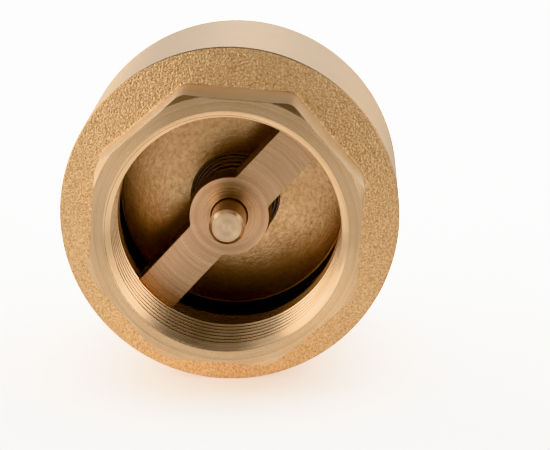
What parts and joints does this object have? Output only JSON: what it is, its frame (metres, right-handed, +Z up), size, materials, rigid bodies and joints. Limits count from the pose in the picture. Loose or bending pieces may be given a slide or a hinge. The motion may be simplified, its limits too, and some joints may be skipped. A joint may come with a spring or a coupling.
{
  "type": "spring check valve",
  "caption": "In-line spring-loaded disc check valve in brass with octagonal wrench ends, internal pipe threads and a guide bridge for the disc's stem.",
  "frame": {"origin": "on the flow axis, half way between the outlet and inlet mouth faces", "axes": "+Y runs along the flow axis from the outlet to the inlet mouth, +Z is up, +X is to the right when looking into the outlet"},
  "size_m": [0.0686, 0.068, 0.0686],
  "materials": {
    "body_brass": "hot forged and sand blasted on the shoulders, turned on the barrel, faces and threads",
    "disc_brass": "as forged, mottled",
    "stem_brass": "turned",
    "seal_rubber": "moulded nitrile rubber, matt",
    "stainless": "drawn wire",
    "gasket": "compressed fibre sheet"
  },
  "bodies": {
    "valve_body": {"outlet_body": "body_brass", "inlet_body": "body_brass", "body_gasket": "gasket"},
    "spring_end": {"closing_spring": "stainless"},
    "disc_assembly": {"disc": "disc_brass", "stem": "stem_brass", "seal_ring": "seal_rubber", "clamp_plate": "stem_brass", "lock_washer": "stainless", "stem_nut": "stem_brass"}
  },
  "joints": [
    {"name": "disc_lift", "type": "slide", "parent": "valve_body", "child": "spring_end", "axis": [0, -1, 0], "range_m": [0, 0.0055], "stiffness_N_per_m": 350, "springref_m": -0.009, "deforming": ["closing_spring"]},
    {"name": "disc_spin", "type": "hinge", "parent": "spring_end", "child": "disc_assembly", "pos_m": [0, 0, 0], "axis": [0, -1, 0], "continuous": true}
  ]
}
